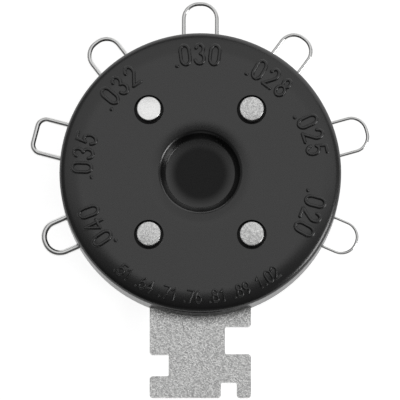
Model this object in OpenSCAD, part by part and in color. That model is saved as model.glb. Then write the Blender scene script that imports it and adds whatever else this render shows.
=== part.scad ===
// Spark plug gap gauge: a round two-part body that holds seven bent gauge wires and a notched
// bending blade. It lies on its back: +Z is the body's axis towards the numbered face, -Y is where
// the blade points, and the origin is the centre of the flat back face. Millimetres.

/* [Body] */
// Diameter of both covers
disc_d = 44.45; // [43:0.05:48]
// Height of the body, from the back face to the flat of the front face
body_h = 9; // [8.4:0.1:12]
// Thickness of the back cover
back_t = 1.6; // [1.4:0.1:2.2]
// Radius on the back cover's rear edge
back_edge_r = 0.4; // [0.2:0.05:0.8]
// Thickness of the front cover's outer wall
wall_t = 2; // [1.6:0.1:2.2]
// Thickness of the front cover's face
face_t = 2; // [1.6:0.1:2.2]

/* [Front face] */
// Radius between the face's border and the outer wall
edge_r = 0.9; // [0.5:0.05:1.3]
// Width of the border that rolls down to the edge
border_w = 2.6; // [1:0.1:3]
// Drop of the border at the edge
border_drop = 0.36; // [0.1:0.02:0.5]
// Diameter of the thumb dimple at the top of its wall
dimple_d = 12.3; // [11:0.1:13.4]
// Depth of the dimple below the flat of the face
dimple_depth = 2; // [1.7:0.1:2.4]
// Lean of the dimple's wall from upright
dimple_draft = 28; // [18:1:34]
// Radius between the dimple's wall and its floor
dimple_corner_r = 0.25; // [0.15:0.05:0.4]
// Width of the floor's border, which curves up to the wall
floor_border_w = 1.8; // [1.2:0.1:2.4]
// Rise of the floor's border
floor_rise = 0.16; // [0.08:0.01:0.2]
// Radius of the dimple's lip
lip_r = 0.85; // [0.5:0.05:0.95]
// Width of the roll that leads down to the lip
lip_roll_w = 1.9; // [1.4:0.1:2.3]
// Drop of that roll at the lip
lip_drop = 0.17; // [0.1:0.01:0.22]

/* [Rivets] */
// Distance between rivets, side to side
rivet_x = 16.2; // [15.6:0.1:17]
// Distance between rivets, along the blade
rivet_y = 19.8; // [19:0.1:20.6]
// Diameter of the flat head
head_d = 3.76; // [3.4:0.02:4]
// Thickness of the head
head_t = 2.6; // [2.2:0.1:2.8]
// Height of the head above the face
head_proud = 1.2; // [0.8:0.1:1.4]
// Chamfer round the head and the tail
head_chamfer = 0.15; // [0.05:0.05:0.3]
// Diameter of the shank
shank_d = 2.4; // [2.2:0.1:2.6]
// Diameter of the rolled tail
tail_d = 3.8; // [3.5:0.1:4]
// Thickness of the rolled tail
tail_t = 0.6; // [0.4:0.1:0.7]
// Depth of the tail below the back face
tail_inset = 0.3; // [0.1:0.1:0.4]
// Diameter of the hollow in the tail
hollow_d = 1.5; // [1.2:0.1:1.7]
// Depth of the hollow in the tail
hollow_depth = 2; // [1.5:0.1:3]
// Gap round the head in its counterbore
head_gap = 0.4; // [0.3:0.05:0.5]
// Gap round the shank and the tail
shank_gap = 0.1; // [0.05:0.05:0.2]
// Break on the mouth of each counterbore
mouth_break = 0.06; // [0.02:0.02:0.2]
// Outer diameter of the bosses that clamp the tang
boss_d = 7.2; // [6.6:0.1:7.4]

/* [Blade] */
// Thickness of the sheet
blade_t = 1.5; // [1.2:0.1:1.7]
// Width of the blade
blade_w = 16; // [15:0.1:18]
// Reach of the blade's end from the body's centre
blade_reach = 35.2; // [34:0.1:40]
// Margin of the tang round each rivet
tang_margin = 3.3; // [2.6:0.1:3.5]
// Corner radius of the blade's outline
blade_corner_r = 0.5; // [0.3:0.05:0.8]
// Corner radius inside the notches
notch_corner_r = 0.25; // [0.1:0.05:0.4]
// Gap round the blade in the wall's slot
slot_gap = 0.1; // [0.05:0.05:0.2]

/* [Notches] */
// Width of the wide notch, in the right edge
wide_w = 4.32; // [4.1:0.02:4.6]
// Depth of the wide notch
wide_depth = 4.1; // [4.05:0.05:5]
// Distance of the wide notch from the blade's end
wide_up = 6.92; // [6:0.02:7.4]
// Width of the middle notch, in the left edge
middle_w = 3.4; // [3:0.05:3.8]
// Depth of the middle notch
middle_depth = 3; // [2.5:0.1:3.5]
// Distance of the middle notch from the blade's end
middle_up = 3.42; // [2.8:0.02:4]
// Width of the narrow notch, in the end
narrow_w = 2.5; // [2:0.05:2.8]
// Depth of the narrow notch
narrow_depth = 2.42; // [1.8:0.02:2.8]
// Width of the prong between the narrow notch and the right edge
prong_w = 2.25; // [1.6:0.05:2.8]

/* [Wire anchors] */
// Length of each foot, from the leg's centre line to its end
foot_l = 2.2; // [2:0.1:2.6]
// Radius inside each wire's foot bend
foot_bend_r = 0.6; // [0.4:0.05:0.8]
// Gap between a wire and what guides it
wire_gap = 0.06; // [0.04:0.01:0.1]
// Thickness of the rib behind the feet
rib_t = 1.2; // [0.9:0.1:1.3]

/* [Wire .020] */
// Diameter of the wire
w020_d = 0.508; // [0.45:0.01:0.56]
// Direction of the wire from the body's centre, degrees
w020_at = -23.3; // [-26:0.1:-21]
// Distance between its legs, on the centre line
w020_span = 5; // [4.6:0.02:5.6]
// Distance that its loop stands out from the wall, on the centre line
w020_out = 4.57; // [4:0.02:6]
// Corner radius of its loop, on the centre line
w020_corner = 2.4; // [1.2:0.1:2.6]

/* [Wire .025] */
// Diameter of the wire
w025_d = 0.635; // [0.58:0.01:0.68]
// Direction of the wire from the body's centre, degrees
w025_at = 15.6; // [13:0.1:17]
// Distance between its legs, on the centre line
w025_span = 5.38; // [4.6:0.02:5.6]
// Distance that its loop stands out from the wall, on the centre line
w025_out = 5.18; // [4:0.02:6]
// Corner radius of its loop, on the centre line
w025_corner = 2.4; // [1.2:0.1:2.6]

/* [Wire .028] */
// Diameter of the wire
w028_d = 0.7112; // [0.66:0.01:0.74]
// Direction of the wire from the body's centre, degrees
w028_at = 53.4; // [51:0.1:55]
// Distance between its legs, on the centre line
w028_span = 5.16; // [4.6:0.02:5.6]
// Distance that its loop stands out from the wall, on the centre line
w028_out = 5.37; // [4:0.02:6]
// Corner radius of its loop, on the centre line
w028_corner = 2.4; // [1.2:0.1:2.6]

/* [Wire .030] */
// Diameter of the wire
w030_d = 0.762; // [0.7:0.01:0.8]
// Direction of the wire from the body's centre, degrees
w030_at = 90; // [88:0.1:92]
// Distance between its legs, on the centre line
w030_span = 5.26; // [4.6:0.02:5.6]
// Distance that its loop stands out from the wall, on the centre line
w030_out = 5.47; // [4:0.02:6]
// Corner radius of its loop, on the centre line
w030_corner = 2.4; // [1.2:0.1:2.6]

/* [Wire .032] */
// Diameter of the wire
w032_d = 0.8128; // [0.78:0.01:0.86]
// Direction of the wire from the body's centre, degrees
w032_at = 127.6; // [126:0.1:130]
// Distance between its legs, on the centre line
w032_span = 5.22; // [4.6:0.02:5.6]
// Distance that its loop stands out from the wall, on the centre line
w032_out = 4.86; // [4:0.02:6]
// Corner radius of its loop, on the centre line
w032_corner = 2.4; // [1.2:0.1:2.6]

/* [Wire .035] */
// Diameter of the wire
w035_d = 0.889; // [0.84:0.01:0.95]
// Direction of the wire from the body's centre, degrees
w035_at = 165.4; // [164:0.1:168]
// Distance between its legs, on the centre line
w035_span = 5.54; // [4.6:0.02:5.6]
// Distance that its loop stands out from the wall, on the centre line
w035_out = 4.82; // [4:0.02:6]
// Corner radius of its loop, on the centre line
w035_corner = 1.4; // [1.2:0.1:2.6]

/* [Wire .040] */
// Diameter of the wire
w040_d = 1.016; // [0.95:0.01:1.08]
// Direction of the wire from the body's centre, degrees
w040_at = 203.4; // [201:0.1:206]
// Distance between its legs, on the centre line
w040_span = 5; // [4.6:0.02:5.6]
// Distance that its loop stands out from the wall, on the centre line
w040_out = 4.47; // [4:0.02:6]
// Corner radius of its loop, on the centre line
w040_corner = 2.4; // [1.2:0.1:2.6]

/* [Hidden] */
$fn = 96;
// How far each cutter reaches past what it cuts
over = 1;
disc_r = disc_d / 2;
cavity_r = disc_r - wall_t;
cavity_top = body_h - face_t;
dimple_r = dimple_d / 2;
dimple_z = body_h - dimple_depth;
cup_r = dimple_r + face_t;
cup_z = dimple_z - face_t;
tang_top = back_t + blade_t;
head_seat = body_h + head_proud - head_t;
tail_seat = tail_inset + tail_t;
mouth_r = head_d / 2 + head_gap;
wires = [
    ["wire_020", w020_d, w020_at, w020_span, w020_out, w020_corner],
    ["wire_025", w025_d, w025_at, w025_span, w025_out, w025_corner],
    ["wire_028", w028_d, w028_at, w028_span, w028_out, w028_corner],
    ["wire_030", w030_d, w030_at, w030_span, w030_out, w030_corner],
    ["wire_032", w032_d, w032_at, w032_span, w032_out, w032_corner],
    ["wire_035", w035_d, w035_at, w035_span, w035_out, w035_corner],
    ["wire_040", w040_d, w040_at, w040_span, w040_out, w040_corner],
];
rivets = [
    ["rivet_upper_left", -1, 1],
    ["rivet_upper_right", 1, 1],
    ["rivet_lower_left", -1, -1],
    ["rivet_lower_right", 1, -1],
];

// One wire's sizes
function diameter(w) = w[1];
function turn(w) = w[2];
function half_span(w) = w[3] / 2;
function reach(w) = disc_r + w[4];
// The loop's corner radius leaves a little of the loop's end straight
function loop_corner(w) = min(w[5], 0.99 * half_span(w));
function foot_end(w) = half_span(w) + foot_l;
// Distance of the feet from the body's centre: their outer side meets the wall at their ends
function foot_u(w) = sqrt(pow(cavity_r, 2) - pow(foot_end(w), 2)) - diameter(w) / 2 - wire_gap;
function wire_z(w) = back_t + wire_gap + diameter(w) / 2;

// Points along an arc about c; an arc that runs on from another starts at its point 1
function arc(c, r, from, to, n = 12, first = 0) =
    [for (i = [first:n]) c + r * [cos(from + (to - from) * i / n), sin(from + (to - from) * i / n)]];
// Radius of an arc that leaves the flat and drops by h over the width w
function roll_r(w, h) = (w * w + h * h) / (2 * h);

// Points of an outline given as [x, y, radius] corners, taken anticlockwise
function corner_points(p, q, s) =
    let (a = [p[0], p[1]], b = [q[0], q[1]], c = [s[0], s[1]], r = q[2])
    let (in = (b - a) / norm(b - a), out = (c - b) / norm(c - b))
    let (cross = in[0] * out[1] - in[1] * out[0], side = sign(cross))
    let (bend = acos(in * out), run = r * tan(bend / 2))
    let (centre = b - in * run + side * r * [-in[1], in[0]])
    let (start = atan2(in[1], in[0]) - 90 * side)
    r > 0 ? arc(centre, r, start, start + side * bend, 6) : [b];
function rounded(corners) =
    let (n = len(corners))
    [for (i = [0:n - 1]) each corner_points(corners[(i + n - 1) % n], corners[i], corners[(i + 1) % n])];

// Outside of the front cover, from the dimple's centre to the foot of the wall
function dimple_profile() =
    let (roll = roll_r(lip_roll_w, lip_drop), lean = asin(lip_roll_w / roll))
    let (dish = roll_r(floor_border_w, floor_rise), tip = asin(floor_border_w / dish))
    let (steep = 90 - dimple_draft)
    let (lip_c = [dimple_r + lip_r * sin(steep), body_h - lip_drop - lip_r * cos(lean)])
    let (roll_c = [lip_c[0] - lip_r * sin(lean) + lip_roll_w, body_h - roll])
    let (wall_top = lip_c[1] + lip_r * cos(steep))
    let (wall_foot = dimple_z + floor_rise + dimple_corner_r * (cos(tip) - cos(steep)))
    let (foot_r = dimple_r - (wall_top - wall_foot) / tan(steep))
    let (corner_c = [foot_r - dimple_corner_r * sin(steep), wall_foot + dimple_corner_r * cos(steep)])
    let (dish_c = [corner_c[0] + dimple_corner_r * sin(tip) - floor_border_w, dimple_z + dish])
    concat(
        [[0, dimple_z]],
        arc(dish_c, dish, -90, tip - 90, 6),
        arc(corner_c, dimple_corner_r, tip - 90, steep - 90, 4, 1),
        arc(lip_c, lip_r, 90 + steep, 90 + lean, 8),
        arc(roll_c, roll, 90 + lean, 90, 6, 1)
    );
function border_profile() =
    let (roll = roll_r(border_w, border_drop), lean = asin(border_w / roll))
    let (edge_z = body_h - border_drop)
    concat(
        arc([disc_r - edge_r - border_w, body_h - roll], roll, 90, 90 - lean, 8),
        arc([disc_r - edge_r, edge_z - edge_r], edge_r, 90, 0, 12),
        [[disc_r, back_t]]
    );
function cavity_profile() = [
    [cavity_r, back_t],
    [cavity_r, cavity_top],
    [cup_r, cavity_top],
    [cup_r, cup_z],
    [0, cup_z],
];

module at_rivets() {
    for (r = rivets) translate([r[1] * rivet_x / 2, r[2] * rivet_y / 2, 0]) children();
}

// The rib behind one wire's feet and the post between its legs
module wire_anchor(w) {
    rib_u = foot_u(w) - diameter(w) / 2 - wire_gap;
    post_v = half_span(w) - diameter(w) / 2 - wire_gap;
    rotate(turn(w)) translate([0, 0, back_t]) {
        translate([rib_u - rib_t, -foot_end(w), 0]) cube([rib_t, 2 * foot_end(w), cavity_top - back_t + face_t / 2]);
        translate([rib_u - rib_t / 2, -post_v, 0])
            cube([cavity_r + wall_t / 2 - rib_u + rib_t / 2, 2 * post_v, cavity_top - back_t + face_t / 2]);
    }
}

// The two notches through the wall for one wire's legs
module leg_notches(w) {
    r = diameter(w) / 2 + wire_gap;
    rotate(turn(w)) for (side = [-1, 1]) translate([cavity_r - wall_t / 2, side * half_span(w), wire_z(w)]) {
        rotate([0, 90, 0]) cylinder(r = r, h = 2 * wall_t);
        translate([0, -r, back_t - wire_z(w) - over]) cube([2 * wall_t, 2 * r, wire_z(w) - back_t + over]);
    }
}

module front_cover() {
    color("#1c1c1d") difference() {
        union() {
            rotate_extrude() polygon(concat(dimple_profile(), border_profile(), cavity_profile()));
            for (w = wires) wire_anchor(w);
            at_rivets() translate([0, 0, tang_top]) cylinder(d = boss_d, h = body_h - tang_top - face_t / 2);
        }
        for (w = wires) leg_notches(w);
        translate([-blade_w / 2 - slot_gap, -disc_r - over, back_t - over])
            cube([blade_w + 2 * slot_gap, disc_r / 2, blade_t + slot_gap + over]);
        at_rivets() {
            translate([0, 0, tang_top - over]) cylinder(d = shank_d + 2 * shank_gap, h = body_h);
            translate([0, 0, head_seat]) cylinder(r = mouth_r, h = body_h);
            translate([0, 0, body_h - mouth_break])
                cylinder(r1 = mouth_r, r2 = mouth_r + 2 * mouth_break, h = 2 * mouth_break);
        }
    }
}

module back_cover() {
    color("#202021") difference() {
        rotate_extrude() polygon(concat(
            [[0, 0]],
            arc([disc_r - back_edge_r, back_edge_r], back_edge_r, -90, 0, 8),
            [[disc_r, back_t], [0, back_t]]
        ));
        at_rivets() {
            translate([0, 0, -over]) cylinder(d = shank_d + 2 * shank_gap, h = back_t + 2 * over);
            translate([0, 0, -over]) cylinder(d = tail_d + 2 * shank_gap, h = tail_seat + over);
        }
    }
}

module blade_plate() {
    tang_x = rivet_x / 2 + tang_margin;
    tang_y = rivet_y / 2 + tang_margin;
    half = blade_w / 2;
    prong_x = half - prong_w;
    end = -blade_reach;
    ro = blade_corner_r;
    ri = notch_corner_r;
    color("#b4b6b8") difference() {
        translate([0, 0, back_t]) linear_extrude(blade_t) difference() {
            polygon(rounded([
                [tang_x, tang_y, tang_margin],
                [-tang_x, tang_y, tang_margin],
                [-tang_x, -tang_y, tang_margin],
                [-half, -tang_y, ri],
                [-half, end + middle_up + middle_w, ro],
                [-half + middle_depth, end + middle_up + middle_w, ri],
                [-half + middle_depth, end + middle_up, ri],
                [-half, end + middle_up, ro],
                [-half, end, ro],
                [prong_x - narrow_w, end, ro],
                [prong_x - narrow_w, end + narrow_depth, ri],
                [prong_x, end + narrow_depth, ri],
                [prong_x, end, ro],
                [half, end, ro],
                [half, end + wide_up, ro],
                [half - wide_depth, end + wide_up, ri],
                [half - wide_depth, end + wide_up + wide_w, ri],
                [half, end + wide_up + wide_w, ro],
                [half, -tang_y, ri],
                [tang_x, -tang_y, tang_margin],
            ]));
        }
        at_rivets() translate([0, 0, back_t - over]) cylinder(d = shank_d + 2 * shank_gap, h = blade_t + 2 * over);
    }
}

// One gauge wire: two straight legs, a rounded loop outside and two feet bent outwards inside
module gauge_wire(w) {
    d = diameter(w);
    bend = foot_bend_r + d / 2;
    corner = loop_corner(w);
    color("#c9cbcd") rotate(turn(w)) translate([0, 0, wire_z(w)]) {
        for (side = [0, 1]) mirror([0, side, 0]) {
            translate([foot_u(w) + bend, half_span(w), 0]) rotate([0, 90, 0])
                cylinder(d = d, h = reach(w) - corner - foot_u(w) - bend);
            translate([reach(w) - corner, half_span(w), 0]) sphere(d = d);
            translate([foot_u(w) + bend, half_span(w) + bend, 0]) rotate(180)
                rotate_extrude(angle = 90) translate([bend, 0]) circle(d = d);
            translate([foot_u(w), half_span(w) + bend, 0]) rotate([-90, 0, 0])
                cylinder(d = d, h = foot_l - bend);
            translate([reach(w) - corner, half_span(w) - corner, 0])
                rotate_extrude(angle = 90) translate([corner, 0]) circle(d = d);
        }
        translate([reach(w), corner - half_span(w), 0]) rotate([-90, 0, 0])
            cylinder(d = d, h = 2 * (half_span(w) - corner));
    }
}

module rivet() {
    head_r = head_d / 2;
    tail_r = tail_d / 2;
    shank_r = shank_d / 2;
    hollow_r = hollow_d / 2;
    head_top = body_h + head_proud;
    color("#cfd0d0") rotate_extrude() polygon([
        [0, head_top],
        [0, tail_inset + hollow_depth],
        [hollow_r, tail_inset + hollow_depth - hollow_r / 2],
        [hollow_r, tail_inset + head_chamfer],
        [hollow_r + head_chamfer, tail_inset],
        [tail_r - head_chamfer, tail_inset],
        [tail_r, tail_inset + head_chamfer],
        [tail_r, tail_seat],
        [shank_r, tail_seat],
        [shank_r, head_seat],
        [head_r, head_seat],
        [head_r, head_top - head_chamfer],
        [head_r - head_chamfer, head_top],
    ]);
}

front_cover();
back_cover();
blade_plate();
for (w = wires)
    gauge_wire(w);
for (r = rivets)
    translate([r[1] * rivet_x / 2, r[2] * rivet_y / 2, 0]) rivet();
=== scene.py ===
import math

import bmesh
import bpy
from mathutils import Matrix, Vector


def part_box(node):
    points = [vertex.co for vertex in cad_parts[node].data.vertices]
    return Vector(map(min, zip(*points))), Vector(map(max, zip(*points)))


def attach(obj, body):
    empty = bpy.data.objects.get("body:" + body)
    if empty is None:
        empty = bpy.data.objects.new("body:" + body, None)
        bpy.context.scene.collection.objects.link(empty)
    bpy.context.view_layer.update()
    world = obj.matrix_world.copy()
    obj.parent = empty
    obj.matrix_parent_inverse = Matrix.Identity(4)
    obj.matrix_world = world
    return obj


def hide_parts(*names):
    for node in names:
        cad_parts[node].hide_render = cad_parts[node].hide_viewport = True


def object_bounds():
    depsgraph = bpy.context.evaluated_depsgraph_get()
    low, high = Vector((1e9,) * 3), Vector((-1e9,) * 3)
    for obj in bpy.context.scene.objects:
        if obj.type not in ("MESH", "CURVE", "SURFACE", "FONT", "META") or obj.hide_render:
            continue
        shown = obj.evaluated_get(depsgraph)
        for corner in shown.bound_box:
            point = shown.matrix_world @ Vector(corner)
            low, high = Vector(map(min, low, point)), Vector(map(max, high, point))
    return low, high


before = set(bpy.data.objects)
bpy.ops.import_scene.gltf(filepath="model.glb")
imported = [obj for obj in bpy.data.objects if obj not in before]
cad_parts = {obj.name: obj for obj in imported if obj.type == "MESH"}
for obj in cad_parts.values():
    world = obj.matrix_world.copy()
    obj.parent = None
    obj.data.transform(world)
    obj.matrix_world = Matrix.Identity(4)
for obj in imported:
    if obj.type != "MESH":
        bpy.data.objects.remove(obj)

mm = 0.001
bpy.context.view_layer.update()
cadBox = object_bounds()
print("frame loaded:", len(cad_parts), "nodes")


# Shader helpers

def addNode(tree, kind, **settings):
    node = tree.nodes.new(kind)
    for key, value in settings.items():
        setattr(node, key, value)
    return node


def setInputs(node, values):
    for key, value in values.items():
        node.inputs[key].default_value = value


def newGroup(name, inputs, outputs):
    group = bpy.data.node_groups.new(name, "ShaderNodeTree")
    for label, kind, value in inputs:
        socket = group.interface.new_socket(name=label, in_out="INPUT", socket_type=kind)
        if value is not None:
            socket.default_value = value
    for label, kind in outputs:
        group.interface.new_socket(name=label, in_out="OUTPUT", socket_type=kind)
    return group, group.nodes.new("NodeGroupInput").outputs, group.nodes.new("NodeGroupOutput").inputs


def mathNode(tree, operation, first, second=None, clamp=False):
    node = addNode(tree, "ShaderNodeMath", operation=operation, use_clamp=clamp)
    for index, value in enumerate((first, second)):
        if value is None:
            continue
        if isinstance(value, (int, float)):
            node.inputs[index].default_value = value
        else:
            tree.links.new(value, node.inputs[index])
    return node.outputs[0]


def noiseNode(tree, vector, scale, detail, roughness):
    node = addNode(tree, "ShaderNodeTexNoise", noise_dimensions="3D")
    setInputs(node, {"Detail": detail, "Roughness": roughness})
    tree.links.new(vector, node.inputs["Vector"])
    tree.links.new(scale, node.inputs["Scale"])
    return node.outputs["Fac"]


def rangeNode(tree, value, low, high):
    node = addNode(tree, "ShaderNodeMapRange", clamp=True)
    setInputs(node, {"To Min": low, "To Max": high})
    tree.links.new(value, node.inputs["Value"])
    return node.outputs["Result"]


# A soft step from the low to the high level as the value crosses the span
def fadeNode(tree, value, span, low, high):
    node = addNode(tree, "ShaderNodeMapRange", interpolation_type="SMOOTHSTEP", clamp=True)
    setInputs(node, {"From Min": span[0], "From Max": span[1], "To Min": low, "To Max": high})
    tree.links.new(value, node.inputs["Value"])
    return node.outputs["Result"]


# A Mix node has its colours at inputs 6 and 7 and their blend at output 2
def mixColour(tree, factor, first, second):
    node = addNode(tree, "ShaderNodeMix", data_type="RGBA")
    node.inputs[6].default_value = (*first, 1.0)
    node.inputs[7].default_value = (*second, 1.0)
    tree.links.new(factor, node.inputs[0])
    return node.outputs[2]


# A moulded surface: fine grain, and slow waves that bend the reflections a little
grainShape = {
    "grain": {"detail": 3.0, "roughness": 0.6},
    "wave": {"detail": 1.0, "roughness": 0.4},
}


def makeGrainGroup():
    group, given, made = newGroup(
        "fineGrain",
        [("Vector", "NodeSocketVector", None), ("Grain Size", "NodeSocketFloat", 0.0002),
         ("Wave Size", "NodeSocketFloat", 0.006), ("Wave Share", "NodeSocketFloat", 0.5)],
        [("Grain", "NodeSocketFloat"), ("Height", "NodeSocketFloat"), ("Wave", "NodeSocketFloat")])
    grainScale = mathNode(group, "DIVIDE", 1.0, given["Grain Size"])
    waveScale = mathNode(group, "DIVIDE", 1.0, given["Wave Size"])
    grain = noiseNode(group, given["Vector"], grainScale, **grainShape["grain"])
    wave = noiseNode(group, given["Vector"], waveScale, **grainShape["wave"])
    height = mathNode(group, "ADD", grain, mathNode(group, "MULTIPLY", wave, given["Wave Share"]))
    group.links.new(grain, made["Grain"])
    group.links.new(height, made["Height"])
    group.links.new(wave, made["Wave"])
    return group


# Fine handling scratches: stretched noise cut to thin lines, in two directions
scratchShape = {
    "turns": (0.5, 2.1), "stretch": 22.0, "noise": {"detail": 2.0, "roughness": 0.55},
    "cutAt": 0.62, "sharpness": 9.0,
}


def makeScratchGroup():
    group, given, made = newGroup(
        "handlingScratches",
        [("Vector", "NodeSocketVector", None), ("Length", "NodeSocketFloat", 0.004),
         ("Amount", "NodeSocketFloat", 0.3)],
        [("Mask", "NodeSocketFloat")])
    scale = mathNode(group, "DIVIDE", 1.0, given["Length"])
    total = 0.0
    for turn in scratchShape["turns"]:
        mapping = addNode(group, "ShaderNodeMapping")
        setInputs(mapping, {"Rotation": (0.0, 0.0, turn), "Scale": (1.0, scratchShape["stretch"], 1.0)})
        group.links.new(given["Vector"], mapping.inputs["Vector"])
        noise = noiseNode(group, mapping.outputs["Vector"], scale, **scratchShape["noise"])
        line = mathNode(group, "SUBTRACT", noise, scratchShape["cutAt"])
        line = mathNode(group, "MULTIPLY", line, scratchShape["sharpness"], clamp=True)
        total = mathNode(group, "MAXIMUM", line, total)
    group.links.new(mathNode(group, "MULTIPLY", total, given["Amount"]), made["Mask"])
    return group


# Tumbled plated steel: small crystals of slightly different tone, with soft pits between them
mottleShape = {"randomness": 1.0, "noise": {"detail": 4.0, "roughness": 0.65}, "middle": 0.5}


def makeMottleGroup():
    group, given, made = newGroup(
        "platedMottle",
        [("Vector", "NodeSocketVector", None), ("Crystal Size", "NodeSocketFloat", 0.0003),
         ("Contrast", "NodeSocketFloat", 0.5)],
        [("Tone", "NodeSocketFloat"), ("Height", "NodeSocketFloat")])
    scale = mathNode(group, "DIVIDE", 1.0, given["Crystal Size"])
    noise = noiseNode(group, given["Vector"], scale, **mottleShape["noise"])
    cells = addNode(group, "ShaderNodeTexVoronoi", voronoi_dimensions="3D", feature="F1")
    cells.inputs["Randomness"].default_value = mottleShape["randomness"]
    group.links.new(given["Vector"], cells.inputs["Vector"])
    group.links.new(scale, cells.inputs["Scale"])
    split = addNode(group, "ShaderNodeSeparateColor")
    group.links.new(cells.outputs["Color"], split.inputs["Color"])
    both = mathNode(group, "ADD", split.outputs[0], noise)
    centred = mathNode(group, "SUBTRACT", both, 2 * mottleShape["middle"])
    spread = mathNode(group, "MULTIPLY", centred, given["Contrast"])
    group.links.new(mathNode(group, "ADD", spread, mottleShape["middle"], clamp=True), made["Tone"])
    group.links.new(mathNode(group, "ADD", cells.outputs["Distance"], noise), made["Height"])
    return group


grainGroup = makeGrainGroup()
scratchGroup = makeScratchGroup()
mottleGroup = makeMottleGroup()
print("surface effects made:", len(bpy.data.node_groups))


# Materials

def startMaterial(name):
    material = bpy.data.materials.new(name)
    material.use_nodes = True
    tree = material.node_tree
    shader = tree.nodes["Principled BSDF"]
    coordinates = addNode(tree, "ShaderNodeTexCoord").outputs["Object"]
    return material, tree, shader, coordinates


def placeGroup(tree, group, coordinates, values):
    node = addNode(tree, "ShaderNodeGroup", node_tree=group)
    setInputs(node, values)
    tree.links.new(coordinates, node.inputs["Vector"])
    return node.outputs


# Colour between the look's dark and pale, and a roughness that the scratches add to
def addFinish(tree, shader, coordinates, look, tone, rough):
    scratch = placeGroup(tree, scratchGroup, coordinates, {
        "Length": look["scratchLength"], "Amount": look["scratches"]})
    scratched = mathNode(tree, "ADD", rough, scratch["Mask"], clamp=True)
    tree.links.new(mixColour(tree, tone, look["dark"], look["pale"]), shader.inputs["Base Color"])
    tree.links.new(scratched, shader.inputs["Roughness"])


def addBump(tree, shader, height, look):
    bump = addNode(tree, "ShaderNodeBump")
    setInputs(bump, {"Strength": look["bump"], "Distance": look["bumpDepth"]})
    tree.links.new(height, bump.inputs["Height"])
    tree.links.new(bump.outputs["Normal"], shader.inputs["Normal"])


# Where the moulded skin keeps its gloss: on the face, but not on the dimple's floor, which is left duller,
# and not down in the rivets' pockets or on the outer wall, where the lost gloss is painted shade
def glossAndPaintedShadeMask(tree, coordinates, skin):
    flat = addNode(tree, "ShaderNodeMapping")
    flat.inputs["Scale"].default_value = (1.0, 1.0, 0.0)
    tree.links.new(coordinates, flat.inputs["Vector"])
    length = addNode(tree, "ShaderNodeVectorMath", operation="LENGTH")
    tree.links.new(flat.outputs["Vector"], length.inputs[0])
    distance = length.outputs["Value"]
    split = addNode(tree, "ShaderNodeSeparateXYZ")
    tree.links.new(coordinates, split.inputs[0])
    pastDulledFloor = fadeNode(tree, distance, skin["dulledFloor"], 0.0, 1.0)
    # Painted shade: the gloss is taken off the outer wall and down in the rivets' pockets
    onPaintedShadeWall = fadeNode(tree, distance, skin["wall"], 1.0, 0.0)
    inside = fadeNode(tree, distance, skin["paintedShadePocketsFrom"], 1.0, 0.0)
    outside = fadeNode(tree, distance, skin["paintedShadePocketsTo"], 0.0, 1.0)
    above = fadeNode(tree, split.outputs["Z"], skin["paintedShadePocketHeight"], 0.0, 1.0)
    face = mathNode(tree, "MAXIMUM", mathNode(tree, "MAXIMUM", inside, outside), above)
    return mathNode(tree, "MULTIPLY", mathNode(tree, "MULTIPLY", face, pastDulledFloor), onPaintedShadeWall)


def makePlastic(name, look):
    material, tree, shader, coordinates = startMaterial(name)
    grain = placeGroup(tree, grainGroup, coordinates, {
        "Grain Size": look["grainSize"], "Wave Size": look["waveSize"], "Wave Share": look["waveShare"]})
    rough = rangeNode(tree, grain["Grain"], look["smooth"], look["rough"])
    addFinish(tree, shader, coordinates, look, grain["Wave"], rough)
    setInputs(shader, {
        "IOR": look["baseIor"], "Coat IOR": look["skinIor"], "Coat Roughness": look["skinRough"],
        "Coat Weight": 1.0})
    if look["skin"]:
        tree.links.new(glossAndPaintedShadeMask(tree, coordinates, look["skin"]), shader.inputs["Coat Weight"])
    addBump(tree, shader, grain["Height"], look)
    return material


def makeMetal(name, look):
    material, tree, shader, coordinates = startMaterial(name)
    mottle = placeGroup(tree, mottleGroup, coordinates, {
        "Crystal Size": look["crystalSize"], "Contrast": look["contrast"]})
    rough = rangeNode(tree, mottle["Tone"], look["rough"], look["smooth"])
    addFinish(tree, shader, coordinates, look, mottle["Tone"], rough)
    shader.inputs["Metallic"].default_value = 1.0
    addBump(tree, shader, mottle["Height"], look)
    return material


# Mesh helpers, with lengths in millimetres and angles in degrees
joining = {"within": 0.002, "spunWithin": 0.0005, "flatUnder": 0.5, "sharpOver": 50, "bevelSteps": 3}


def finishPiece(mesh, name, material, sharpAngle, replaced=()):
    mesh.name = name
    mesh.materials.clear()
    mesh.materials.append(material)
    mesh.polygons.foreach_set("use_smooth", [True] * len(mesh.polygons))
    mesh.set_sharp_from_angle(angle=math.radians(sharpAngle))
    piece = bpy.data.objects.new(name, mesh)
    bpy.context.scene.collection.objects.link(piece)
    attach(piece, "root")
    if replaced:
        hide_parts(*replaced)
    return piece


def meshFromBmesh(bm, name):
    mesh = bpy.data.meshes.new(name)
    bm.to_mesh(mesh)
    bm.free()
    return mesh


# The node's own solid with its loose triangles joined, and its sharp edges rounded where a width is given
def joinedCopy(nodeName, bevelWidth=0.0):
    bm = bmesh.new()
    bm.from_mesh(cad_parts[nodeName].data)
    bmesh.ops.remove_doubles(bm, verts=bm.verts, dist=joining["within"] * mm)
    if bevelWidth:
        flat = math.radians(joining["flatUnder"])
        bmesh.ops.dissolve_limit(bm, angle_limit=flat, verts=bm.verts, edges=bm.edges)
        steep = math.radians(joining["sharpOver"])
        sharp = [e for e in bm.edges if len(e.link_faces) == 2 and e.calc_face_angle() > steep]
        bmesh.ops.bevel(bm, geom=sharp, offset=bevelWidth * mm, offset_type="OFFSET", profile=0.5,
                        segments=joining["bevelSteps"], affect="EDGES", material=-1, clamp_overlap=True)
    return meshFromBmesh(bm, nodeName)


# Points along an arc of an ellipse about (x, y), from one direction to another in degrees
def sweep(x, y, radiusX, radiusY, start, end, steps=16):
    turns = [math.radians(start + (end - start) * i / steps) for i in range(steps + 1)]
    return [(x + radiusX * math.cos(t), y + radiusY * math.sin(t)) for t in turns]


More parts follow.
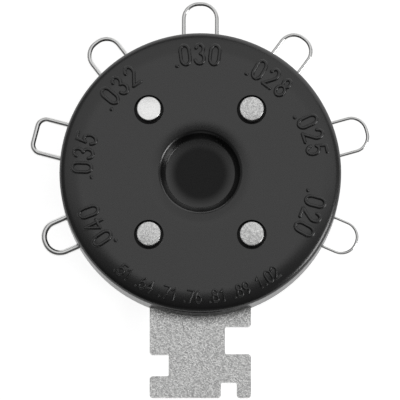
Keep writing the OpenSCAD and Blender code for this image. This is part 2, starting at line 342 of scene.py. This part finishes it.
# Turns a profile of (radius, height) points in millimetres about an upright axis
def spunMesh(name, profile, centre, steps):
    bm = bmesh.new()
    verts = [bm.verts.new((centre[0] + r * mm, centre[1], z * mm)) for r, z in profile]
    edges = [bm.edges.new(pair) for pair in zip(verts, verts[1:])]
    bmesh.ops.spin(bm, geom=verts + edges, cent=(centre[0], centre[1], 0.0), axis=(0.0, 0.0, 1.0),
                   angle=math.tau, steps=steps, use_merge=True)
    bmesh.ops.remove_doubles(bm, verts=bm.verts, dist=joining["spunWithin"] * mm)
    bmesh.ops.recalc_face_normals(bm, faces=bm.faces)
    return meshFromBmesh(bm, name)


# Front cover: the solid's facets shade as the smooth turned form that they stand for. The skin's spans are
# distances from the axis, and its height for the rivets' pockets is a height above the back face, in
# metres. In the pockets below that height and on the outer wall the skin's gloss is taken away as painted
# shade; on the dimple's floor it is left duller
coverLook = {
    "dark": (0.0022, 0.0022, 0.0024), "pale": (0.0034, 0.0034, 0.0036), "smooth": 0.22, "rough": 0.34,
    "scratches": 0.03, "scratchLength": 0.005, "baseIor": 1.33, "skinIor": 1.6, "skinRough": 0.25,
    "skin": {"dulledFloor": (0.0036, 0.0055), "wall": (0.0219, 0.0222), "paintedShadePocketsFrom": (0.0072, 0.0078),
             "paintedShadePocketsTo": (0.0172, 0.0178), "paintedShadePocketHeight": (0.0084, 0.00878)},
    "grainSize": 0.00022, "waveSize": 0.007, "waveShare": 1.6, "bump": 0.55, "bumpDepth": 0.00003,
}
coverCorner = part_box("front_cover")[1] / mm
# The face's form in millimetres and degrees; facing is a cosine
faceShape = {
    "top": coverCorner.z, "outer": coverCorner.x, "edgeRadius": 0.9, "borderWidth": 2.6, "borderDrop": 0.36,
    "dimpleRadius": 6.15, "dimpleDepth": 2.0, "draft": 28.0, "cornerRadius": 0.25,
    "floorBorder": 1.8, "floorRise": 0.16, "lipRadius": 0.85, "lipRoll": 1.9, "lipDrop": 0.17,
    "edgeShort": 0.03, "wallPast": 0.01, "nearAxis": 0.01, "facing": 0.95, "sharpAngle": 32.0,
}


def rollRadius(width, drop):
    return (width * width + drop * drop) / (2 * drop)


# The face's bands from the dimple's centre outwards: where each ends, its arc's centre, and 1 for a
# crown or -1 for a hollow; a straight band has the direction that it faces instead, and the outer edge
# takes over the lean of the border before it
def makeBands(s):
    lipRoll = rollRadius(s["lipRoll"], s["lipDrop"])
    lipLean = math.asin(s["lipRoll"] / lipRoll)
    dish = rollRadius(s["floorBorder"], s["floorRise"])
    dishLean = math.asin(s["floorBorder"] / dish)
    border = rollRadius(s["borderWidth"], s["borderDrop"])
    borderLean = math.asin(s["borderWidth"] / border)
    steep = math.radians(90.0 - s["draft"])
    corner = s["cornerRadius"]
    floorHeight = s["top"] - s["dimpleDepth"]
    lip = (s["dimpleRadius"] + s["lipRadius"] * math.sin(steep),
           s["top"] - s["lipDrop"] - s["lipRadius"] * math.cos(lipLean))
    lipEnd = lip[0] - s["lipRadius"] * math.sin(lipLean)
    rollEnd = lipEnd + s["lipRoll"]
    wallTop = lip[1] + s["lipRadius"] * math.cos(steep)
    wallFoot = floorHeight + s["floorRise"] + corner * (math.cos(dishLean) - math.cos(steep))
    footRadius = s["dimpleRadius"] - (wallTop - wallFoot) / math.tan(steep)
    cornerCentre = (footRadius - corner * math.sin(steep), wallFoot + corner * math.cos(steep))
    cornerStart = cornerCentre[0] + corner * math.sin(dishLean)
    floorEnd = cornerStart - s["floorBorder"]
    edgeStart = s["outer"] - s["edgeRadius"]
    edgeCentre = (edgeStart, s["top"] - s["borderDrop"] - s["edgeRadius"])
    borderStart = edgeStart - s["borderWidth"]
    return [
        {"end": floorEnd, "faces": (0.0, 1.0)},
        {"end": cornerStart, "centre": (floorEnd, floorHeight + dish), "side": -1},
        {"end": footRadius, "centre": cornerCentre, "side": -1},
        {"end": s["dimpleRadius"], "faces": (-math.sin(steep), math.cos(steep))},
        {"end": lipEnd, "centre": lip, "side": 1},
        {"end": rollEnd, "centre": (rollEnd, s["top"] - lipRoll), "side": 1},
        {"end": borderStart, "faces": (0.0, 1.0)},
        {"end": edgeStart, "centre": (borderStart, s["top"] - border), "side": 1},
        {"end": s["outer"] - s["edgeShort"], "centre": edgeCentre, "side": 1, "lean": borderLean},
        {"end": s["outer"] + s["wallPast"], "faces": (1.0, 0.0)},
    ]


def bandDirection(band, radius, height):
    if "faces" in band:
        return band["faces"]
    across = (radius - band["centre"][0]) * band["side"]
    up = (height - band["centre"][1]) * band["side"]
    lean = math.atan2(across, up)
    if "lean" in band:
        lean = max(lean, band["lean"] + lean / 2)
    return (math.sin(lean), math.cos(lean))


# Gives each facet that faces its band's way, within the facing limit, the band's own directions
def shadeAsTurned(mesh, shape):
    bands = makeBands(shape)
    directions = [corner.vector.copy() for corner in mesh.corner_normals]
    for polygon in mesh.polygons:
        spot = polygon.center / mm
        radius = math.hypot(spot.x, spot.y)
        band = next((b for b in bands if radius <= b["end"]), None)
        if band is None or radius < shape["nearAxis"]:
            continue
        wanted = bandDirection(band, radius, spot.z)
        outward = (polygon.normal.x * spot.x + polygon.normal.y * spot.y) / radius
        if outward * wanted[0] + polygon.normal.z * wanted[1] < shape["facing"]:
            continue
        for loop in polygon.loop_indices:
            vertex = mesh.vertices[mesh.loops[loop].vertex_index].co / mm
            reach = math.hypot(vertex.x, vertex.y)
            if reach < shape["nearAxis"]:
                continue
            across, up = bandDirection(band, reach, vertex.z)
            directions[loop] = Vector((vertex.x / reach * across, vertex.y / reach * across, up))
    mesh.normals_split_custom_set(directions)


coverBlack = makePlastic("coverBlack", coverLook)
frontCover = finishPiece(joinedCopy("front_cover"), "frontCover", coverBlack,
                         faceShape["sharpAngle"], ("front_cover",))
shadeAsTurned(frontCover.data, faceShape)
print("front cover dressed")

# Back cover: the solid as it is, in a rougher plastic, its skin glossy all over
backLook = dict(coverLook, smooth=0.4, rough=0.55, scratches=0.1, skinRough=0.4, skin=None,
                grainSize=0.00016, bump=0.4)
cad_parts["back_cover"].material_slots[0].material = makePlastic("backBlack", backLook)
print("back cover finished")

# Blade: the rolled sheet's two sides shade flat up to their rounded edges
bladeLook = {
    "dark": (0.48, 0.48, 0.48), "pale": (0.94, 0.94, 0.93), "smooth": 0.22, "rough": 0.34,
    "scratches": 0.08, "scratchLength": 0.003, "crystalSize": 0.00018, "contrast": 0.9, "bump": 0.4,
    "bumpDepth": 0.00003,
}
# Upright and sameSide are cosines: a facet counts as one of the flat sides, or as near enough to one
bladeShape = {"roundOver": 0.1, "upright": 0.9999, "sameSide": 0.5, "sharpAngle": 32.0}


def shadeSidesFlat(mesh, shape):
    directions = [corner.vector.copy() for corner in mesh.corner_normals]
    flatAt = {}
    for polygon in mesh.polygons:
        if abs(polygon.normal.z) > shape["upright"]:
            for vertex in polygon.vertices:
                flatAt[vertex] = polygon.normal.copy()
    for polygon in mesh.polygons:
        for loop in polygon.loop_indices:
            vertex = mesh.loops[loop].vertex_index
            if vertex in flatAt and polygon.normal.dot(flatAt[vertex]) > shape["sameSide"]:
                directions[loop] = flatAt[vertex]
    mesh.normals_split_custom_set(directions)


blade = finishPiece(joinedCopy("blade_plate", bladeShape["roundOver"]), "blade",
                    makeMetal("bladeSteel", bladeLook), bladeShape["sharpAngle"], ("blade_plate",))
shadeSidesFlat(blade.data, bladeShape)
print("blade dressed")

# Rivets: a rounded rim above, and a rolled tail with a domed hollow below. The shape is in millimetres
rivetLook = {
    "dark": (0.6, 0.6, 0.6), "pale": (0.96, 0.96, 0.95), "smooth": 0.24, "rough": 0.38,
    "scratches": 0.08, "scratchLength": 0.003, "crystalSize": 0.00018, "contrast": 0.8, "bump": 0.3,
    "bumpDepth": 0.00003,
}
# The upper left rivet's metal: a paler colour that is a painted highlight for the glint on it, and a
# smoother finish
paintedHighlightRivetLook = dict(rivetLook, dark=(0.86, 0.86, 0.86), pale=(0.99, 0.99, 0.98), contrast=0.5,
                       smooth=0.08, rough=0.14, bump=0.15)
rivetShape = {
    "headRadius": 1.88, "headThickness": 2.6, "rimRadius": 0.12, "rimSteps": 6, "shankRadius": 1.2,
    "tailRadius": 1.9, "tailThickness": 0.6, "tailRound": 0.2, "tailSteps": 5,
    "hollowRadius": 0.75, "hollowDepth": 2.0, "tipShare": 0.55, "tipDrop": 0.1, "shoulderDrop": 0.4,
    "mouthGap": 0.02, "turnSteps": 72, "sharpAngle": 40.0,
}
paintedHighlightRivets = ("rivet_upper_left",)  # paler than the others: a painted highlight


# Half of a rivet's section, from the bottom of the hollow round the tail and the head to the top
def rivetProfile(s, bottom, top):
    seat = top - s["headThickness"]
    tailSeat = bottom + s["tailThickness"]
    hollowTop = bottom + s["hollowDepth"]
    rim = s["rimRadius"]
    roll = s["tailRound"]
    return [
        (0.0, hollowTop), (s["hollowRadius"] * s["tipShare"], hollowTop - s["tipDrop"]),
        (s["hollowRadius"], hollowTop - s["shoulderDrop"]),
        (s["hollowRadius"], bottom + roll + s["mouthGap"]),
        *sweep(s["hollowRadius"] + roll, bottom + roll, roll, roll, 180, 270, s["tailSteps"]),
        *sweep(s["tailRadius"] - roll, bottom + roll, roll, roll, 270, 360, s["tailSteps"]),
        (s["tailRadius"], tailSeat), (s["shankRadius"], tailSeat), (s["shankRadius"], seat),
        (s["headRadius"], seat),
        *sweep(s["headRadius"] - rim, top - rim, rim, rim, 0, 90, s["rimSteps"]),
        (0.0, top),
    ]


def makeRivet(nodeName, metal):
    low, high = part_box(nodeName)
    centre = ((low[0] + high[0]) / 2, (low[1] + high[1]) / 2)
    profile = rivetProfile(rivetShape, low[2] / mm, high[2] / mm)
    mesh = spunMesh(nodeName, profile, centre, rivetShape["turnSteps"])
    return finishPiece(mesh, nodeName + "_turned", metal, rivetShape["sharpAngle"], (nodeName,))


rivetMetal = makeMetal("rivetMetal", rivetLook)
paintedHighlightRivetMetal = makeMetal("paintedHighlightRivetMetal", paintedHighlightRivetLook)
rivetNames = [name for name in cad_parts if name.startswith("rivet_")]
for rivetName in rivetNames:
    makeRivet(rivetName, paintedHighlightRivetMetal if rivetName in paintedHighlightRivets else rivetMetal)
print("rivets made:", len(rivetNames))

# Wires: the solids as they are, in smooth drawn steel
wireLook = {
    "dark": (0.76, 0.76, 0.76), "pale": (0.88, 0.88, 0.87), "smooth": 0.14, "rough": 0.2,
    "scratches": 0.03, "scratchLength": 0.003, "crystalSize": 0.00012, "contrast": 0.4, "bump": 0.1,
    "bumpDepth": 0.00001,
}
wireSteel = makeMetal("wireSteel", wireLook)
wireNames = sorted(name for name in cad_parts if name.startswith("wire_"))
for wireName in wireNames:
    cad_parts[wireName].material_slots[0].material = wireSteel
print("wires finished:", len(wireNames))

# Numerals: raised rounded strokes that follow the face. The tip gives how far into a stroke's round end
# each extra point stands, and the share of the thickness there
strokeShape = {
    "tip": ((0.5, 0.87), (0.8, 0.6), (0.95, 0.3)), "roundSteps": 5, "squareness": 3, "sharpAngle": 50.0,
}
# Each stroke's centre line, across 0 to 1 and up 0 to 1
digitStrokes = {
    "0": [sweep(0.5, 0.7, 0.5, 0.3, 0, 180) + sweep(0.5, 0.3, 0.5, 0.3, 180, 360) + [(1.0, 0.7)]],
    "1": [[(0.2, 0.76), (0.6, 1.0), (0.6, 0.0)]],
    "2": [sweep(0.5, 0.72, 0.46, 0.28, 172, -38) + [(0.04, 0.0)], [(0.0, 0.0), (1.0, 0.0)]],
    "3": [sweep(0.46, 0.76, 0.42, 0.24, 165, -80) + sweep(0.46, 0.26, 0.5, 0.26, 80, -165)],
    "4": [[(0.72, 0.0), (0.72, 1.0)], [(0.72, 1.0), (0.0, 0.3)], [(0.0, 0.3), (1.0, 0.3)]],
    "5": [[(0.95, 1.0), (0.2, 1.0)], [(0.2, 1.0), (0.08, 0.5)],
          [(0.08, 0.5)] + sweep(0.47, 0.31, 0.49, 0.31, 125, -160)],
    "6": [sweep(0.5, 0.3, 0.46, 0.3, 0, 360), sweep(0.75, 0.3, 0.71, 0.68, 180, 105)],
    "7": [[(0.0, 1.0), (1.0, 1.0)], [(1.0, 1.0), (0.35, 0.0)]],
    "8": [sweep(0.5, 0.77, 0.38, 0.23, 0, 360), sweep(0.5, 0.27, 0.48, 0.27, 0, 360)],
    "9": [sweep(0.5, 0.7, 0.46, 0.3, 0, 360), sweep(0.25, 0.7, 0.71, 0.68, 0, -75)],
}


def faceHeight(radius):
    s = faceShape
    run = radius - (s["outer"] - s["edgeRadius"] - s["borderWidth"])
    if run <= 0.0:
        return s["top"]
    roll = rollRadius(s["borderWidth"], s["borderDrop"])
    return s["top"] - roll + math.sqrt(roll * roll - run * run)


# A place on the face: a turn about the axis, a distance out, and which way the mark's top points
def facePoint(turn, radius, across, up, topOut):
    side = 1.0 if topOut else -1.0
    outward = Vector((math.cos(turn), math.sin(turn)))
    rightward = Vector((math.sin(turn), -math.cos(turn))) * side
    return outward * radius + outward * up * side + rightward * across


# The stroke's points with a rounded end put before and after them, each with its share of the thickness
def roundedStroke(points, thickness):
    def tip(last, before):
        away = (last - before).normalized() * thickness / 2
        return [(last + away * reach, share) for reach, share in strokeShape["tip"]]
    whole = [(point, 1.0) for point in points]
    return tip(points[0], points[1])[::-1] + whole + tip(points[-1], points[-2])


# Gives the round bead a broader top and steeper sides, at the height over the face that its size says
def liftBead(mesh, size):
    power = strokeShape["squareness"]
    for vertex in mesh.vertices:
        surface = faceHeight(math.hypot(vertex.co.x, vertex.co.y) / mm) * mm
        lift = max(-1.0, min(1.0, (vertex.co.z - surface) / (size["stroke"] / 2 * mm)))
        across = math.sqrt(1.0 - lift * lift)
        rise = (1.0 - across ** power) ** (1 / power) * size["raise"] * mm
        vertex.co.z = surface + math.copysign(rise, lift)


# A character's centre lines in millimetres, across from its middle and up from its foot
def characterStrokes(character, size):
    if character == ".":
        half = size["dot"] / 2
        return [[(-half, size["dotUp"]), (half, size["dotUp"])]]
    width = size["width"]
    return [[(x * width - 0.5 * width, y * size["height"]) for x, y in stroke]
            for stroke in digitStrokes[character]]


def makeMark(name, characters, size):
    curve = bpy.data.curves.new(name, "CURVE")
    curve.dimensions = "3D"
    curve.bevel_depth = size["stroke"] / 2 * mm
    curve.bevel_resolution = strokeShape["roundSteps"]
    curve.use_fill_caps = True
    for character, turn in characters:
        for stroke in characterStrokes(character, size):
            flats = [facePoint(turn, size["baseline"], x, y, size["topOut"]) for x, y in stroke]
            run = roundedStroke(flats, size["stroke"])
            spline = curve.splines.new("POLY")
            spline.points.add(len(run) - 1)
            for point, (flat, share) in zip(spline.points, run):
                point.co = (flat.x * mm, flat.y * mm, faceHeight(flat.length) * mm, 1.0)
                point.radius = share
    holder = bpy.data.objects.new(name, curve)
    bpy.context.scene.collection.objects.link(holder)
    mesh = bpy.data.meshes.new_from_object(holder.evaluated_get(bpy.context.evaluated_depsgraph_get()))
    bpy.data.objects.remove(holder)
    liftBead(mesh, size)
    return finishPiece(mesh, name, coverBlack, strokeShape["sharpAngle"])


# The dial: sizes in millimetres, and turns in degrees
dialSize = {
    "stroke": 0.58, "raise": 0.36, "width": 1.42, "height": 3.1, "baseline": 17.16, "pitch": 7.2,
    "dot": 0.1, "dotUp": 0.02, "dotTurn": 4.9, "topOut": True,
}
# Direction of each mark's middle digit
dialMarks = {
    "020": -21.8, "025": 18.1, "028": 52.9, "030": 90.2, "032": 132.6, "035": 170.7, "040": 207.0,
}
for digits, middle in dialMarks.items():
    places = [(digit, math.radians(middle + dialSize["pitch"] * (1 - i))) for i, digit in enumerate(digits)]
    places.append((".", math.radians(middle + dialSize["pitch"] + dialSize["dotTurn"])))
    makeMark("numeral_" + digits, places, dialSize)
print("dial numerals made:", len(dialMarks))

# The same sizes in millimetres, small, along the lower border
rowSize = {
    "stroke": 0.4, "raise": 0.3, "width": 0.92, "height": 1.85, "baseline": 20.66, "advance": 1.2,
    "point": 0.55, "space": 0.95, "dot": 0.05, "dotUp": 0.04, "middle": 268.2, "topOut": False,
}
rowMarks = [".51", ".64", ".71", ".76", ".81", ".89", "1.02"]


def layOutRow(marks, size):
    runs = []
    cursor = 0.0
    for mark in marks:
        run = []
        for character in mark:
            step = size["point"] if character == "." else size["advance"]
            run.append((character, cursor + step / 2))
            cursor += step
        runs.append(run)
        cursor += size["space"]
    middle = (cursor - size["space"]) / 2
    radius = size["baseline"] - size["height"] / 2
    start = math.radians(size["middle"])
    return [[(character, start + (place - middle) / radius) for character, place in run] for run in runs]


for label, characters in zip(rowMarks, layOutRow(rowMarks, rowSize)):
    makeMark("millimetres_" + label.replace(".", "p"), characters, rowSize)
print("lower row made:", len(rowMarks))

# Floor, camera and light. Lengths are in metres, but frameWidth, target and sensorWidth are in millimetres
studio = {
    "floorSize": 3.0, "floorGap": 0.00002, "floorPaper": 0.4, "floorGlow": 0.9,
    "distance": 1.0, "elevation": 83.6, "frameWidth": 63.4, "target": (-0.05, -3.68, 2.1),
    "sensorWidth": 36.0, "clipStart": 0.01,
}


# White paper. Its glow shows to the camera, in reflections and through clear things, but lights nothing
def makeFloor():
    bm = bmesh.new()
    bmesh.ops.create_grid(bm, x_segments=1, y_segments=1, size=studio["floorSize"] / 2)
    bmesh.ops.translate(bm, verts=bm.verts, vec=(0.0, 0.0, cadBox[0].z - studio["floorGap"]))
    mesh = meshFromBmesh(bm, "floor")
    material = bpy.data.materials.new("floorPaper")
    material.use_nodes = True
    tree = material.node_tree
    tree.nodes.clear()
    sink = addNode(tree, "ShaderNodeOutputMaterial")
    paper = addNode(tree, "ShaderNodeBsdfDiffuse")
    paper.inputs["Color"].default_value = (*[studio["floorPaper"]] * 3, 1.0)
    glow = addNode(tree, "ShaderNodeEmission")
    path = addNode(tree, "ShaderNodeLightPath")
    seen = mathNode(tree, "MAXIMUM", path.outputs["Is Camera Ray"], path.outputs["Is Glossy Ray"])
    seen = mathNode(tree, "MAXIMUM", seen, path.outputs["Is Transmission Ray"])
    tree.links.new(mathNode(tree, "MULTIPLY", seen, studio["floorGlow"]), glow.inputs["Strength"])
    both = addNode(tree, "ShaderNodeAddShader")
    tree.links.new(paper.outputs[0], both.inputs[0])
    tree.links.new(glow.outputs[0], both.inputs[1])
    tree.links.new(both.outputs[0], sink.inputs["Surface"])
    mesh.materials.append(material)
    floor = bpy.data.objects.new("floor", mesh)
    bpy.context.scene.collection.objects.link(floor)


def makeCamera():
    camera = bpy.data.cameras.new("camera")
    holder = bpy.data.objects.new("camera", camera)
    bpy.context.scene.collection.objects.link(holder)
    tilt = math.radians(studio["elevation"])
    target = Vector(studio["target"]) * mm
    away = Vector((0.0, -math.cos(tilt), math.sin(tilt)))
    holder.location = target + away * studio["distance"]
    holder.rotation_euler = (math.radians(90.0) - tilt, 0.0, 0.0)
    camera.sensor_width = studio["sensorWidth"]
    camera.lens = camera.sensor_width * studio["distance"] / (studio["frameWidth"] * mm)
    camera.clip_start = studio["clipStart"]
    bpy.context.scene.camera = holder


# Panels of one broad softbox overhead, metres across and back from the object
ceiling = {
    "height": 0.9,
    "panels": {
        "middle": {"across": (-0.16, 0.16), "away": (-0.047, 0.22), "radiance": 0.68},
        "left": {"across": (-0.68, -0.16), "away": (-0.047, 0.22), "radiance": 0.42},
        "right": {"across": (0.16, 0.68), "away": (-0.047, 0.22), "radiance": 0.6},
        "back": {"across": (-0.68, 0.68), "away": (0.22, 0.81), "radiance": 0.42},
    },
}
# A small bright light from the lower right
strip = {"azimuth": 335.0, "elevation": 27.0, "distance": 0.7, "size": (0.28, 0.24), "radiance": 6.0}


def makeLight(name, location, rotation, size, radiance):
    light = bpy.data.lights.new(name, "AREA")
    light.shape = "RECTANGLE"
    light.size, light.size_y = size
    light.energy = radiance * math.pi * light.size * light.size_y
    holder = bpy.data.objects.new(name, light)
    bpy.context.scene.collection.objects.link(holder)
    holder.location = location
    holder.rotation_euler = rotation
    holder.visible_camera = False


def makeLights():
    for name, panel in ceiling["panels"].items():
        left, right = panel["across"]
        near, far = panel["away"]
        makeLight(name, ((left + right) / 2, (near + far) / 2, ceiling["height"]), (0.0, 0.0, 0.0),
                  (right - left, far - near), panel["radiance"])
    azimuth = math.radians(strip["azimuth"])
    rise = math.radians(strip["elevation"])
    away = Vector((math.cos(azimuth) * math.cos(rise), math.sin(azimuth) * math.cos(rise), math.sin(rise)))
    makeLight("strip", away * strip["distance"], away.to_track_quat("Z", "Y").to_euler(), strip["size"],
              strip["radiance"])


# The room's brightness from the camera's side of the object, -1, to a bright strip low behind it, 1;
# directions to the sides count as further back, more so to the right
room = {
    "sides": 0.5, "right": 0.2,
    "levels": [(-1.0, 0.24), (-0.85, 0.2), (-0.68, 0.06), (-0.45, 0.06), (-0.25, 0.12), (-0.05, 0.18),
               (0.4, 0.2), (0.7, 0.28), (0.88, 0.16), (1.0, 1.0)],
}


# Past the floor's edge the camera sees white, and so do mirrored and seen-through rays below the horizon
def makeWorld():
    world = bpy.data.worlds.new("studio")
    world.use_nodes = True
    tree = world.node_tree
    background = tree.nodes["Background"]
    background.inputs["Color"].default_value = (1.0, 1.0, 1.0, 1.0)
    split = addNode(tree, "ShaderNodeSeparateXYZ")
    tree.links.new(addNode(tree, "ShaderNodeTexCoord").outputs["Generated"], split.inputs[0])
    sides = mathNode(tree, "MULTIPLY", mathNode(tree, "ABSOLUTE", split.outputs["X"]), room["sides"])
    right = mathNode(tree, "MULTIPLY", split.outputs["X"], room["right"])
    back = mathNode(tree, "ADD", mathNode(tree, "ADD", split.outputs["Y"], sides), right)
    spot = mathNode(tree, "ADD", mathNode(tree, "MULTIPLY", back, 0.5), 0.5, clamp=True)
    ramp = addNode(tree, "ShaderNodeValToRGB")
    stops = ramp.color_ramp.elements
    for place, level in room["levels"][1:-1]:
        stops.new(0.5 + place / 2)
    for stop, (place, level) in zip(stops, room["levels"]):
        stop.color = (level, level, level, 1.0)
    tree.links.new(spot, ramp.inputs["Fac"])
    path = addNode(tree, "ShaderNodeLightPath")
    mirrored = mathNode(tree, "MAXIMUM", path.outputs["Is Glossy Ray"], path.outputs["Is Transmission Ray"])
    below = mathNode(tree, "MULTIPLY", mirrored, mathNode(tree, "LESS_THAN", split.outputs["Z"], 0.0))
    seen = mathNode(tree, "MAXIMUM", path.outputs["Is Camera Ray"], below)
    tree.links.new(mathNode(tree, "MAXIMUM", seen, ramp.outputs["Color"]), background.inputs["Strength"])
    bpy.context.scene.world = world


makeFloor()
makeCamera()
makeLights()
makeWorld()
bpy.context.scene.view_settings.view_transform = "Standard"
print("studio set")

bpy.context.view_layer.update()
